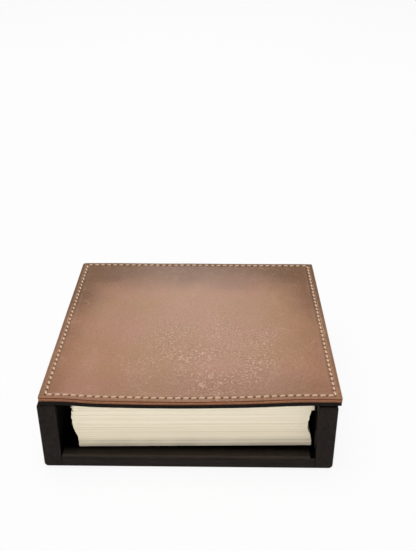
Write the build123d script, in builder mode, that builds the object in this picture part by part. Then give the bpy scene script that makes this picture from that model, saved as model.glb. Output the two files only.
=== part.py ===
from build123d import *
import os

# Memo box: a low wooden case with an open front, a loose board that slides on its floor, a
# stack of square notes and a two-ply leather lid on a leather hinge.
# Millimetres. +X is right, +Y is back, +Z is up. The origin is the middle of the felt's underside.

# ---- driving dimensions: the notes ----
note_width = 90.0
side_room = 6.0
rear_room = 1.2
front_recess = 4.8
note_turn = 1.2
head_room = 1.6
bottom_pack_height = 4.1
lower_pack_height = 5.0
middle_pack_height = 4.4
upper_pack_height = 3.5
top_pack_height = 3.7
# The notes lie turned by a degree or so, their right side farther back. They have also slid
# sideways, so these gaps to the right wall differ from level to level.
bottom_pack_gap = 0.6
pushed_right_gap = 0.9
pushed_left_gap = 2.2
middle_pack_gap = 2.1
upper_pack_gap = 1.7
top_pack_gap = 0.7
loose_note_height = 1.1
loose_note_gap = 0.4
loose_note_curl_length = 14.0
loose_note_curl_rise = 0.6

# ---- driving dimensions: the wooden case ----
wall = 7.0
back = 7.0
floor = 5.0
long_edge_radius = 1.6
top_edge_radius = 1.0
end_edge_radius = 0.7
tongue = 2.0
tongue_thickness = 2.0
tongue_setback = 8.0
glue_room = 0.2
corner_lap = 3.5

# ---- driving dimensions: the sliding board and the felt ----
board_thickness = 1.0
board_under_gap = 0.1
board_left_gap = 0.3
board_right_gap = 1.8
board_rear_gap = 0.5
board_edge_radius = 0.3
felt_thickness = 0.8
felt_inset = 3.0
felt_corner = 3.0

# ---- driving dimensions: the leather lid ----
lid_shift = 1.0
lid_rest_gap = 0.3
lid_sag = 1.25
lid_left_sag = 0.9
lid_right_sag = 0.7
# These three places are measured from the left wall's inner face.
lid_left_sag_run = 15.0
lid_low_run = 43.0
lid_right_sag_run = 67.0
lid_front_lift = 0.6
lid_corner = 1.5
lid_edge_radius = 0.4
tan_ply = 1.7
black_ply = 1.6

# ---- driving dimensions: the leather hinge ----
hinge_width = 98.0
hinge_lap = 12.0
hinge_leaf_height = 14.0
hinge_leaf_corner = 3.0
hinge_side_gap = 0.2
hinge_fold_gap = 0.2

# ---- sizes that follow ----
# Each pack has a name, a height, and its gap to the right wall at its bottom and at its top.
packs = [
    ("note_pack_bottom", bottom_pack_height, bottom_pack_gap, pushed_right_gap),
    ("note_pack_lower", lower_pack_height, pushed_right_gap, pushed_left_gap),
    ("note_pack_middle", middle_pack_height, pushed_left_gap, middle_pack_gap),
    ("note_pack_upper", upper_pack_height, middle_pack_gap, upper_pack_gap),
    ("note_pack_top", top_pack_height, top_pack_gap, top_pack_gap),
]
stack_height = sum(height for _, height, _, _ in packs) + loose_note_height
inner_width = note_width + side_room
inner_depth = front_recess + note_width + rear_room
case_width = inner_width + 2 * wall
case_depth = inner_depth + back
case_height = floor + board_under_gap + board_thickness + stack_height + head_room

half_width = case_width / 2
inner_half = inner_width / 2
front_y = -case_depth / 2
rear_y = case_depth / 2
inner_rear_y = rear_y - back
wood_bottom = felt_thickness
wood_middle = wood_bottom + case_height / 2
case_top = wood_bottom + case_height
tongue_middle = wood_bottom + floor / 2
board_bottom = wood_bottom + floor + board_under_gap
board_top = board_bottom + board_thickness
notes_front_y = front_y + front_recess
note_axis = Axis((0, notes_front_y, 0), (0, 0, 1))

lid_left = lid_shift - half_width
lid_right = lid_shift + half_width
lid_rear_y = rear_y - hinge_fold_gap
lid_under = case_top + lid_rest_gap
hinge_y = rear_y + black_ply / 2
hinge_z = lid_under + black_ply / 2


def save(piece, name):
    """Labels a finished piece and writes it as a STEP file of that name."""
    piece.label = name
    export_step(piece, f"parts/{name}.step")


def side_wall(side):
    """One side wall, side being -1 for the left and +1 for the right.

    It is lapped at the rear for the back wall, and its groove for the floor's tongue stops
    short of the front, so that the front shows no joint.
    """
    groove = tongue + glue_room
    groove_x = side * (inner_half + groove / 2)
    groove_length = case_depth - tongue_setback
    lap_x = side * (inner_half + corner_lap / 2)
    with BuildPart() as side_piece:
        with BuildSketch(Plane.XZ.offset(-front_y)) as outline:
            with Locations((side * (inner_half + wall / 2), wood_middle)):
                Rectangle(wall, case_height)
            fillet(outline.vertices().group_by(Axis.Y)[-1], radius=top_edge_radius)
            low_corners = outline.vertices().group_by(Axis.Y)[0].sort_by(Axis.X)
            fillet(low_corners[0 if side < 0 else -1], radius=long_edge_radius)
        extrude(amount=-case_depth)
        with Locations((groove_x, rear_y - groove_length / 2, tongue_middle)):
            Box(groove, groove_length, tongue_thickness, mode=Mode.SUBTRACT)
        with Locations((lap_x, rear_y - back / 2, wood_middle)):
            Box(corner_lap, back, case_height, mode=Mode.SUBTRACT)
        ends = side_piece.faces().filter_by(Axis.Y).group_by(Axis.Y)
        end_edges = ends[0].edges() + ends[-1].edges()
        outer_edges = end_edges.filter_by(
            lambda edge: side * edge.center().X > inner_half + corner_lap
        )
        fillet(outer_edges, radius=end_edge_radius)
    return side_piece.part


def ply(bottom, top):
    """One leather layer of the lid, between two heights above the lid's underside.

    It lies flat on the back wall. At the front it sags between the side walls, most steeply
    beside the left one, and its right end stands up a little.
    """

    def outline_curve(height, drape):
        low = lid_under + height
        high = low + drape * lid_front_lift
        flat = [(1, 0), (1, 0)]
        left = Line((lid_left, low), (-inner_half, low))
        left_dip = (lid_left_sag_run - inner_half, low - drape * lid_left_sag)
        lowest = (lid_low_run - inner_half, low - drape * lid_sag)
        right_dip = (lid_right_sag_run - inner_half, low - drape * lid_right_sag)
        Spline(left @ 1, left_dip, lowest, right_dip, (inner_half, high), tangents=flat)
        right = Line((inner_half, high), (lid_right, high))
        return left @ 0, right @ 1

    with BuildPart() as layer:
        for y, drape in ((front_y, 1), (lid_rear_y, 0)):
            with BuildSketch(Plane.XZ.offset(-y)):
                with BuildLine():
                    under = outline_curve(bottom, drape)
                    over = outline_curve(top, drape)
                    Line(under[0], over[0])
                    Line(under[1], over[1])
                make_face()
        loft(ruled=True)
        fillet(layer.edges().filter_by(Axis.Z), radius=lid_corner)
    return layer.part


# ---- the wooden case ----
left_wall = side_wall(-1)
save(left_wall, "left_wall")

right_wall = side_wall(1)
save(right_wall, "right_wall")

with BuildPart() as back_wall:
    with BuildSketch(Plane.YZ.offset(-inner_half - corner_lap)) as back_outline:
        with Locations((rear_y - back / 2, wood_middle)):
            Rectangle(back, case_height)
        fillet(back_outline.vertices().group_by(Axis.Y)[-1], radius=top_edge_radius)
    extrude(amount=inner_width + 2 * corner_lap)
    with Locations((0, inner_rear_y + (tongue + glue_room) / 2, tongue_middle)):
        Box(inner_width, tongue + glue_room, tongue_thickness, mode=Mode.SUBTRACT)
save(back_wall.part, "back_wall")

with BuildPart() as base_board:
    with Locations((0, (front_y + inner_rear_y) / 2, tongue_middle)):
        Box(inner_width, inner_depth, floor)
    with Locations((0, inner_rear_y + tongue / 2, tongue_middle)):
        Box(inner_width, tongue, tongue_thickness)
    tongue_length = inner_depth - tongue_setback - glue_room
    with Locations((0, inner_rear_y - tongue_length / 2, tongue_middle)):
        Box(inner_width + 2 * tongue, tongue_length, tongue_thickness)
    front_edges = base_board.edges().filter_by(Axis.X).group_by(Axis.Y)[0]
    fillet(front_edges.group_by(Axis.Z)[0], radius=end_edge_radius)
save(base_board.part, "base_board")

with BuildPart() as base_felt:
    with BuildSketch():
        RectangleRounded(
            case_width - 2 * felt_inset, case_depth - 2 * felt_inset, felt_corner
        )
    extrude(amount=felt_thickness)
save(base_felt.part, "base_felt")

# ---- the board that slides out, and the notes on it ----
board_width = inner_width - board_left_gap - board_right_gap
board_depth = inner_depth - board_rear_gap
with BuildPart() as pull_out_board:
    with BuildSketch(Plane.XY.offset(board_bottom)):
        with Locations(
            ((board_left_gap - board_right_gap) / 2, front_y + board_depth / 2)
        ):
            Rectangle(board_width, board_depth)
    extrude(amount=board_thickness)
    fillet(
        pull_out_board.faces().sort_by(Axis.Z)[-1].edges(), radius=board_edge_radius
    )
save(pull_out_board.part, "pull_out_board")

pack_bottom = board_top
for pack_name, pack_height, low_gap, high_gap in packs:
    pack_top = pack_bottom + pack_height
    low_right = inner_half - low_gap
    high_right = inner_half - high_gap
    with BuildPart() as pack:
        with BuildSketch(Plane.XZ.offset(-notes_front_y)):
            with BuildLine():
                Polyline(
                    (low_right - note_width, pack_bottom),
                    (low_right, pack_bottom),
                    (high_right, pack_top),
                    (high_right - note_width, pack_top),
                    close=True,
                )
            make_face()
        extrude(amount=-note_width)
    save(pack.part.rotate(note_axis, note_turn), pack_name)
    pack_bottom = pack_top

# The loose notes lie on the packs, and their right edge curls up beside the wall.
curl_end = inner_half - loose_note_gap
curl_start = curl_end - loose_note_curl_length
with BuildPart() as loose_notes:
    with BuildSketch(Plane.XZ.offset(-notes_front_y)):
        with BuildLine():
            ends = []
            for level in (pack_bottom, pack_bottom + loose_note_height):
                flat_run = Line((curl_end - note_width, level), (curl_start, level))
                curl_tip = (curl_end, level + loose_note_curl_rise)
                curl = TangentArc(flat_run @ 1, curl_tip, tangent=flat_run % 1)
                ends.append((flat_run @ 0, curl @ 1))
            Line(ends[0][0], ends[1][0])
            Line(ends[0][1], ends[1][1])
        make_face()
    extrude(amount=-note_width)
save(loose_notes.part.rotate(note_axis, note_turn), "loose_notes")

# ---- the lid ----
rim_x = half_width - lid_corner
rim_y = case_depth / 2 - lid_corner
with BuildPart() as lid_leather:
    add(ply(black_ply, black_ply + tan_ply))
    top_faces = lid_leather.faces().filter_by(lambda face: face.normal_at().Z > 0.9)
    rim = top_faces.edges().filter_by(
        lambda edge: abs(edge.center().X - lid_shift) > rim_x or abs(edge.center().Y) > rim_y
    )
    fillet(rim, radius=lid_edge_radius)
save(lid_leather.part, "lid_leather")

# The lining is cut out at the rear for the hinge strip, which fills the same layer.
lap_front_y = lid_rear_y - hinge_lap
notch_depth = hinge_lap + hinge_side_gap
with BuildPart() as lid_lining:
    add(ply(0, black_ply))
    with Locations((0, lid_rear_y - notch_depth / 2, hinge_z)):
        Box(
            hinge_width + 2 * hinge_side_gap,
            notch_depth,
            2 * case_height,
            mode=Mode.SUBTRACT,
        )
save(lid_lining.part, "lid_lining")

with BuildPart() as hinge_lap_strip:
    add(ply(0, black_ply))
    with Locations((0, lid_rear_y - hinge_lap / 2, hinge_z)):
        Box(hinge_width, hinge_lap, 2 * case_height, mode=Mode.INTERSECT)
save(hinge_lap_strip.part, "hinge_lap_strip")

# ---- the hinge strip's leaf, glued behind the back wall up to the fold ----
with BuildPart() as hinge_leaf:
    with BuildSketch(Plane.YZ.offset(-hinge_width / 2)):
        with Locations((hinge_y, hinge_z - hinge_leaf_height / 2)):
            Rectangle(black_ply, hinge_leaf_height)
        with Locations((hinge_y, hinge_z)):
            Circle(black_ply / 2)
    extrude(amount=hinge_width)
    leaf_ends = hinge_leaf.edges().filter_by(Axis.Y).group_by(Axis.Z)[0]
    fillet(leaf_ends, radius=hinge_leaf_corner)
save(hinge_leaf.part, "hinge_leaf")

print("case", case_width, case_depth, case_height, "lid top", lid_under + black_ply + tan_ply)
print("hinge axis", hinge_y, hinge_z, "board top", board_top, "notes top", pack_bottom)
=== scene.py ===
"""The looks of a memo box: stained wooden case, loose notes and a saddle-stitched leather lid.

Every length is in metres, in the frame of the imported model: +X right, +Y back, +Z up, with the
box standing on z = 0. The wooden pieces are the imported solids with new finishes. The leather,
thread, felt and paper are modelled here in the space that their solids hold.
"""

import logging
import math
import random
from contextlib import contextmanager
from dataclasses import dataclass
from enum import Enum
from typing import Callable, Iterable, Iterator, Mapping, Sequence

import bmesh
import bpy
from mathutils import Matrix, Vector, noise

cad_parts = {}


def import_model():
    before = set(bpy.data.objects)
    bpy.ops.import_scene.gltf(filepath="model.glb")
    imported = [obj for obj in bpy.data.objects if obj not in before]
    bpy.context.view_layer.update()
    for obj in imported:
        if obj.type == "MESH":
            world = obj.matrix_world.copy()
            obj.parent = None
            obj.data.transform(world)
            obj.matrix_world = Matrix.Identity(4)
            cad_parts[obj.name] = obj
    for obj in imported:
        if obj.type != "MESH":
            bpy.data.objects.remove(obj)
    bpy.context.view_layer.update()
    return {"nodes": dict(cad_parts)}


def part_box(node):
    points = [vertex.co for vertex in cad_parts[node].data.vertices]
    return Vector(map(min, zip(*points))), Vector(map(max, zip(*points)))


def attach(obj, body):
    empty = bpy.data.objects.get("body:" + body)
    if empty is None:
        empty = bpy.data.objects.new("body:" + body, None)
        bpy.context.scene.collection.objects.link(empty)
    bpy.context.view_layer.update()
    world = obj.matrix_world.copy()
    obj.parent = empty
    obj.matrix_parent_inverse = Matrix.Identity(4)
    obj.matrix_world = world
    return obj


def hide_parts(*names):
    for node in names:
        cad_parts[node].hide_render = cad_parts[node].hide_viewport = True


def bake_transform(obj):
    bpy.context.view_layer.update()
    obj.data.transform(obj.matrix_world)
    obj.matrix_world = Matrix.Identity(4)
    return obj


LOG = logging.getLogger("memo_box")
MM = 0.001
Colour = tuple[float, float, float, float]
Triple = tuple[float, float, float]
Piece = bpy.types.Object
Socket = bpy.types.NodeSocket
Fill = Callable[["Net", Mapping[str, Socket]], dict[str, Socket]]


def shade(*display: float) -> Colour:
    """Makes a colour.

    Args:
        display: its red, green and blue as display values of 0 to 255.

    Returns:
        The opaque colour in linear light.
    """
    shares = [value / 255 for value in display]
    linear = [s / 12.92 if s <= 0.04045 else ((s + 0.055) / 1.055) ** 2.4 for s in shares]
    return (*linear, 1.0)


def smooth(value: float) -> float:
    """Returns a smooth step of a value held between 0 and 1."""
    share = min(1.0, max(0.0, value))
    return share * share * (3 - 2 * share)


class Body(str, Enum):
    """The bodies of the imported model."""

    CASE = "case"
    BOARD = "board"
    NOTES = "notes"
    LID = "lid"


class Grain(Enum):
    """The way the wood's fibres run, as the stretch of a pattern along X, Y and Z."""

    ACROSS = (0.07, 1.0, 1.0)
    BACK = (1.0, 0.07, 1.0)


# ---- Shader nodes ----


@dataclass
class Net:
    """Adds nodes to one node tree and joins them.

    Args:
        tree: the tree of a material, of the world or of a node group.
        place: the socket of the position that its patterns are laid by.
    """

    tree: bpy.types.NodeTree
    place: Socket | None = None

    def node(self, kind: str, inputs: dict | None = None, **settings: object) -> bpy.types.Node:
        """Adds a node.

        Args:
            kind: the node's type name after ShaderNode.
            inputs: sockets or plain values by input name or number.
            settings: the node's own properties.

        Returns:
            The new node.
        """
        made = self.tree.nodes.new(f"ShaderNode{kind}")
        for name, value in settings.items():
            setattr(made, name, value)
        for name, value in (inputs or {}).items():
            if isinstance(value, Socket):
                self.tree.links.new(value, made.inputs[name])
            else:
                made.inputs[name].default_value = value
        return made

    def math(self, operation: str, *values: object) -> Socket:
        """Returns the result of a Math node."""
        return self.node("Math", dict(enumerate(values)), operation=operation).outputs[0]

    def plus(self, first: object, second: object) -> Socket:
        """Returns the sum of two values."""
        return self.math("ADD", first, second)

    def minus(self, first: object, second: object) -> Socket:
        """Returns the first value less the second."""
        return self.math("SUBTRACT", first, second)

    def times(self, first: object, second: object) -> Socket:
        """Returns the product of two values."""
        return self.math("MULTIPLY", first, second)

    def larger(self, first: object, second: object) -> Socket:
        """Returns the larger of two values."""
        return self.math("MAXIMUM", first, second)

    def vector(self, operation: str, *values: object, result: int = 0) -> Socket:
        """Returns the result of a Vector Math node: 0 is its vector and 1 its number."""
        inputs = dict(enumerate(values))
        return self.node("VectorMath", inputs, operation=operation).outputs[result]

    def parts(self, vector: Socket) -> Sequence[Socket]:
        """Returns a vector's parts along X, Y and Z."""
        return self.node("SeparateXYZ", {0: vector}).outputs

    def stored(self, name: str) -> Socket:
        """Returns the number that the mesh stores under a name."""
        return self.node("Attribute", attribute_name=name).outputs["Fac"]

    def noise(self, scale: object, detail: float = 4.0, rough: float = 0.55,
              twist: float = 0.0, at: Socket | None = None) -> Socket:
        """Adds a noise.

        Args:
            scale: cells per metre.
            detail: octaves.
            rough: the share that each octave keeps.
            twist: distortion.
            at: a position in place of the net's own.

        Returns:
            The noise, about 0.5 on average.
        """
        inputs = {"Vector": self.place if at is None else at, "Scale": scale, "Detail": detail,
                  "Roughness": rough, "Distortion": twist}
        return self.node("TexNoise", inputs).outputs[0]

    def spread(self, value: object, low: float, high: float, out_low: float = 0.0,
               out_high: float = 1.0) -> Socket:
        """Returns a value mapped smoothly from low..high to out_low..out_high."""
        inputs = dict(enumerate((value, low, high, out_low, out_high)))
        return self.node("MapRange", inputs, interpolation_type="SMOOTHSTEP").outputs[0]

    def mix(self, share: object, first: object, second: object) -> Socket:
        """Returns two colours mixed by a share."""
        return self.node("Mix", {0: share, 6: first, 7: second}, data_type="RGBA").outputs[2]

    def ramp(self, value: Socket, stops: Sequence[tuple[float, Colour]]) -> Socket:
        """Adds a colour ramp.

        Args:
            value: what runs along the ramp.
            stops: places from 0 to 1, in order, and their colours.

        Returns:
            The ramp's colour.
        """
        made = self.node("ValToRGB", {0: value})
        elements = made.color_ramp.elements
        while len(elements) < len(stops):
            elements.new(1.0)
        for element, (place, colour) in zip(elements, stops):
            element.position = place
            element.color = colour
        return made.outputs[0]

    def bump(self, height: Socket, depth: float, strength: float) -> Socket:
        """Returns the normal of a height in shares of a depth, shown at a strength."""
        inputs = {"Height": height, "Distance": depth, "Strength": strength}
        return self.node("Bump", inputs).outputs[0]

    def effect(self, fill: Fill, **values: object) -> dict[str, Socket]:
        """Places the node group of a shared effect.

        Args:
            fill: the effect.
            values: sockets or plain values by the group's input names.

        Returns:
            The group's outputs by name.
        """
        inputs = {"place": self.place, **values}
        made = self.node("Group", inputs, node_tree=Effects.tree(fill, inputs))
        return {output.name: output for output in made.outputs}


class Effects:
    """The effects that several materials use, each a node group that is built once.

    Args:
        vectors: the inputs that are vectors, where the others are numbers.
        trees: the groups built so far, by name.
    """

    vectors: tuple[str, ...] = ("place", "centre", "half_size", "stretch")
    trees: dict[str, bpy.types.NodeTree] = {}

    @classmethod
    def tree(cls, fill: Fill, inputs: Iterable[str]) -> bpy.types.NodeTree:
        """Builds an effect's node group, or finds it if it exists.

        Args:
            fill: adds the group's own nodes and returns its outputs by name.
            inputs: the names of its inputs.

        Returns:
            The node group.
        """
        name = fill.__name__
        if name in cls.trees:
            return cls.trees[name]
        tree = cls.trees[name] = bpy.data.node_groups.new(name, "ShaderNodeTree")
        for title in inputs:
            kind = "NodeSocketVector" if title in cls.vectors else "NodeSocketFloat"
            tree.interface.new_socket(name=title, in_out="INPUT", socket_type=kind)
        given = tree.nodes.new("NodeGroupInput").outputs
        made = fill(Net(tree, given["place"]), given)
        for title in made:
            tree.interface.new_socket(name=title, in_out="OUTPUT", socket_type="NodeSocketFloat")
        result = tree.nodes.new("NodeGroupOutput")
        for title, socket in made.items():
            tree.links.new(socket, result.inputs[title])
        return tree

    @staticmethod
    def edge_wear_and_highlight(net: Net, given: Mapping[str, Socket]) -> dict[str, Socket]:
        """Marks the edges of a box-shaped piece, where two of its faces are close at once.

        Args:
            net: the group's net.
            given: its inputs: the box's centre and half_size, and the worn strip's width.

        Returns:
            The mask of the edges, painted paler as wear and as highlight.
        """
        from_centre = net.vector("SUBTRACT", net.place, given["centre"])
        inside = net.vector("SUBTRACT", given["half_size"], net.vector("ABSOLUTE", from_centre))
        across, back, up = net.parts(inside)
        low, high = net.math("MINIMUM", across, back), net.larger(across, back)
        edge = net.larger(low, net.math("MINIMUM", high, up))
        uneven = net.spread(net.noise(420.0, 5.0, 0.65), 0.35, 0.7, 0.25, 1.6)
        share = net.math("DIVIDE", edge, net.times(given["width"], uneven))
        return {"mask": net.spread(share, 0.0, 1.0, 1.0, 0.0)}

    @staticmethod
    def fibres(net: Net, given: Mapping[str, Socket]) -> dict[str, Socket]:
        """Draws out fine fibres: wood grain, nap or the edge of leather.

        Args:
            net: the group's net.
            given: its inputs: the pattern's stretch and scale.

        Returns:
            The fibres' height and the mask of the pores between them.
        """
        drawn = net.vector("MULTIPLY", net.place, given["stretch"])
        broad = net.noise(given["scale"], 6.0, 0.68, 0.3, drawn)
        fine = net.noise(net.times(given["scale"], 4.0), 3.0, 0.5, at=drawn)
        height = net.plus(net.times(broad, 0.65), net.times(fine, 0.35))
        return {"height": height, "pores": net.spread(fine, 0.36, 0.44, 1.0, 0.0)}

    @staticmethod
    def dust(net: Net, given: Mapping[str, Socket]) -> dict[str, Socket]:
        """Scatters small pale specks, the middles of sparse cells.

        Args:
            net: the group's net.
            given: its inputs: the cells' scale and the share of them that is kept.

        Returns:
            The mask of the specks.
        """
        cells = net.node("TexVoronoi", {"Vector": net.place, "Scale": given["scale"]}).outputs
        speck = net.spread(cells["Distance"], 0.05, 0.16, 1.0, 0.0)
        chance = net.node("SeparateColor", {0: cells["Color"]}).outputs[0]
        return {"mask": net.times(speck, net.math("LESS_THAN", chance, given["share"]))}


# ---- Finishes ----


@dataclass(frozen=True)
class Finish:
    """A material that is made from nodes.

    Args:
        name: the material's name.
        specular: how strongly the plain surface reflects.
        sheen: how strongly loose fibres catch the light.
    """

    name: str
    specular: float = 0.5
    sheen: float = 0.0

    def dress(self, net: Net) -> dict[str, object]:
        """Adds the finish's own nodes and returns what feeds the shader, by input name."""
        raise NotImplementedError

    def build(self) -> bpy.types.Material:
        """Makes the material.

        Returns:
            The new material.
        """
        material = bpy.data.materials.new(self.name)
        material.use_nodes = True
        material.node_tree.nodes.clear()
        net = Net(material.node_tree)
        net.place = net.node("TexCoord").outputs["Object"]
        plain = {"Specular IOR Level": self.specular, "Sheen Weight": self.sheen,
                 "Sheen Roughness": 0.5}
        shader = net.node("BsdfPrincipled", {**plain, **self.dress(net)})
        net.node("OutputMaterial", {0: shader.outputs[0]})
        return material


@dataclass(frozen=True)
class StainedWood(Finish):
    """Black-brown stained wood, satin, with paler edges of wear and painted highlight, and painted
    inner shade.

    Args:
        centre: the middle of the piece.
        half_size: half of its size along X, Y and Z.
        grain: the way its fibres run.
        inward: the direction that the piece's hidden inner face looks in, where shade is painted.
        dark: the stain in the fibres.
        light: the stain between them.
        pale_lit_edge: the colour at its edges, rubbed wear with a painted highlight.
        inside: the colour of the painted shade on the inner face.
        dusty: the colour of the dust in its pores.
        edge: how far in from an edge it is paler.
    """

    centre: Triple = (0.0, 0.0, 0.0)
    half_size: Triple = (1.0, 1.0, 1.0)
    grain: Grain = Grain.ACROSS
    inward: Triple = (0.0, 0.0, 0.0)
    dark: Colour = shade(22, 17, 14)
    light: Colour = shade(42, 35, 31)
    # The edges' colour: rubbed wear with a painted highlight.
    pale_lit_edge: Colour = shade(55, 46, 40)
    # Painted shade for the inner face, darker than the stain.
    inside: Colour = shade(4, 3, 3)
    dusty: Colour = shade(110, 102, 95)
    edge: float = 0.7 * MM

    def dress(self, net: Net) -> dict[str, object]:
        """Lays the fibres, the pores, the paler edges of wear and painted highlight, a little dust
        and painted inner shade.

        Args:
            net: the material's net.

        Returns:
            What feeds the shader, by input name.
        """
        fibres = net.effect(Effects.fibres, stretch=self.grain.value, scale=700.0)
        # Wear and painted highlight: a paler strip along the piece's edges.
        wear_and_highlight = net.effect(Effects.edge_wear_and_highlight, centre=self.centre, half_size=self.half_size,
                          width=self.edge)
        dust = net.effect(Effects.dust, scale=700.0, share=0.05)
        height, pores = fibres["height"], fibres["pores"]
        uneven = net.spread(net.noise(55.0, 3.0), 0.3, 0.7, 0.0, 0.45)
        # Painted shade: faces that look along inward are mixed towards the inside colour.
        inner = net.vector("DOT_PRODUCT", net.node("TexCoord").outputs["Normal"], self.inward,
                           result=1)
        colour = net.ramp(height, [(0.36, self.dark), (0.66, self.light)])
        for share, other in ((uneven, self.dark), (net.times(wear_and_highlight["mask"], 0.5), self.pale_lit_edge),
                             (net.times(pores, 0.5), self.dark),
                             (net.times(dust["mask"], 0.2), self.dusty),
                             (net.spread(inner, 0.6, 0.9), self.inside)):
            colour = net.mix(share, colour, other)
        depth = net.minus(height, net.times(pores, 0.35))
        return {"Base Color": colour, "Roughness": net.spread(height, 0.3, 0.7, 0.62, 0.48),
                "Normal": net.bump(depth, 0.05 * MM, 0.55)}


@dataclass(frozen=True)
class BoardStain(Finish):
    """Nearly black stain on the thin board, paler at its front lip; the dark fade behind the lip
    is painted shade.

    Args:
        lip: the place of the board's front edge along Y.
        reach: how far back from the lip the painted shade takes to grow dark.
        black: the stain in full painted shade, behind the lip.
        pale_lit_edge: the colour at the lip, clear of the painted shade.
    """

    lip: float = 0.0
    reach: float = 5.2 * MM
    # Painted shade: the stain goes near black away from the lip.
    black: Colour = shade(4, 4, 3)
    pale_lit_edge: Colour = shade(58, 51, 45)

    def dress(self, net: Net) -> dict[str, object]:
        """Paints shade over the stain from the lip backwards, across the fibres.

        Args:
            net: the material's net.

        Returns:
            What feeds the shader, by input name.
        """
        height = net.effect(Effects.fibres, stretch=Grain.ACROSS.value, scale=800.0)["height"]
        # Painted shade: the board darkens from its lip backwards, under the lid and the notes.
        uneven = net.times(net.minus(net.noise(160.0), 0.5), 1.2 * MM)
        back = net.minus(net.plus(net.parts(net.place)[1], uneven), self.lip)
        painted_shade_fade = net.spread(back, 0.0, self.reach, 1.0, 0.0)
        share = net.times(painted_shade_fade, net.spread(height, 0.35, 0.65, 0.75, 1.0))
        return {"Base Color": net.mix(share, self.black, self.pale_lit_edge), "Roughness": 0.7,
                "Normal": net.bump(height, 0.04 * MM, 0.5)}


@dataclass(frozen=True)
class GrainLeather(Finish):
    """Tan leather, grain side, with a soft sheen, painted shade at its rim, in its pits and its
    stitch holes, and painted glints.

    Args:
        centre: the middle of the lid.
        half_size: half of the lid's size along X, Y and Z.
        tan: the dye.
        rose: the dye in its warmer patches.
        tips: the tops of the grain where they catch the light.
        shadow: the colour of the painted shade at the rim and in the pits.
        hole: the colour of the painted shade in the stitch holes.
        sparkle_spot: the middle of the patch of painted glints and deeper pit shade, as a share of
            the half size.
    """

    centre: Triple = (0.0, 0.0, 0.0)
    half_size: Triple = (1.0, 1.0, 1.0)
    tan: Colour = shade(181, 134, 96)
    rose: Colour = shade(191, 137, 111)
    tips: Colour = shade(208, 168, 142)
    shadow: Colour = shade(111, 75, 43)
    hole: Colour = shade(38, 19, 9)
    sparkle_spot: Triple = (0.16, -0.45, 0.0)

    def _painted_rim_shade(self, net: Net, across: Socket, back: Socket) -> Socket:
        """Paints shade on the leather towards its sides, its rear and its front edge.

        Args:
            net: the material's net.
            across: the place across the lid, from -1 to 1.
            back: the place towards its rear, from -1 to 1.

        Returns:
            The share of the painted shade.
        """
        # Painted shade: darker towards the sides and the rear corners, clouded by noise.
        sideways = net.math("ABSOLUTE", across)
        later = net.spread(back, -0.5, 0.5, 0.13, 0.0)
        outer = net.larger(net.minus(sideways, later), net.spread(back, 0.0, 1.0, 0.39, 1.03))
        both = net.times(net.spread(sideways, 0.3, 1.0), net.spread(back, 0.0, 1.0))
        cloud = net.times(net.minus(net.noise(45.0), 0.5), 0.35)
        cloudy = net.plus(net.plus(outer, net.times(both, 0.2)), cloud)
        border = net.larger(sideways, net.math("ABSOLUTE", back))
        # Painted shade along the front edge, with a darker band along the very rim.
        front = net.times(net.spread(back, -0.55, -0.88),
                          net.spread(across, -0.6, 0.3, 0.14, 0.34))
        marked = net.larger(front, net.spread(border, 0.955, 0.995, 0.0, 0.4))
        return net.larger(net.spread(cloudy, 0.62, 1.08, 0.0, 0.85), marked)

    def _pebbles(self, net: Net) -> Socket:
        """Adds the fine cells of the grain and its soft creases.

        Args:
            net: the material's net.

        Returns:
            Their height.
        """
        bend = net.node("TexNoise", {"Vector": net.place, "Scale": 900.0}).outputs[1]
        shift = net.node("VectorMath", {0: bend, 3: 0.5 * MM}, operation="SCALE").outputs[0]
        cells = {"Vector": net.vector("ADD", net.place, shift), "Scale": 2300.0,
                 "Smoothness": 0.35}
        far = net.node("TexVoronoi", cells, feature="SMOOTH_F1").outputs["Distance"]
        dome = net.times(net.spread(far, 0.15, 0.75, 1.0, 0.0), 0.55)
        crease = net.times(net.noise(330.0, 6.0, 0.62, 0.6), 0.6)
        return net.plus(net.plus(dome, net.times(net.noise(5200.0, 3.0, 0.5), 0.35)), crease)

    def dress(self, net: Net) -> dict[str, object]:
        """Lays the patches, the painted shade of the rim, the pits and the holes, and the painted
        glints.

        Args:
            net: the material's net.

        Returns:
            What feeds the shader, by input name.
        """
        from_centre = net.vector("SUBTRACT", net.place, self.centre)
        share = net.vector("DIVIDE", from_centre, self.half_size)
        across, back, _ = net.parts(share)
        from_spot = net.vector("DISTANCE", net.vector("MULTIPLY", share, (1.0, 1.0, 0.0)),
                               self.sparkle_spot, result=1)
        # The sparkle patch: where the painted glints and the deepest painted pit shade go.
        uneven = net.spread(net.noise(60.0, 3.0), 0.4, 0.6, 0.35, 1.0)
        sparkle_patch = net.times(uneven, net.spread(from_spot, 0.2, 0.95, 1.0, 0.0))
        # Painted shade in the grain's pits, deepest in the sparkle patch.
        pits = net.times(net.spread(net.noise(1300.0, 3.0), 0.36, 0.62, -0.54, 0.46),
                         net.spread(sparkle_patch, 0.0, 1.0, 0.18, 0.5))
        pitted = net.plus(pits, net.spread(sparkle_patch, 0.0, 1.0, 0.2, 0.27))
        scuffs = net.spread(net.noise(210.0, 7.0, 0.7, 1.2), 0.52, 0.72, 0.0, 0.25)
        # Painted glints: pale specks of highlight inside the sparkle patch.
        painted_glints = net.spread(net.noise(1200.0, 1.0), 0.56, 0.64, 0.0, 0.95)
        colour = net.mix(net.spread(net.noise(34.0, 5.0, 0.6, 0.4), 0.3, 0.7), self.tan, self.rose)
        for share, other in ((self._painted_rim_shade(net, across, back), self.shadow), (pitted, self.shadow),
                             (scuffs, self.tips), (net.times(sparkle_patch, painted_glints), self.tips),
                             # Painted shade in the stitch holes.
                             (net.stored("stitch_hole"), self.hole)):
            colour = net.mix(share, colour, other)
        shine = net.spread(net.noise(1900.0, 2.0), 0.3, 0.72, 0.42, 0.24)
        return {"Base Color": colour, "Roughness": shine,
                "Normal": net.bump(self._pebbles(net), 0.07 * MM, 0.28)}


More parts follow.
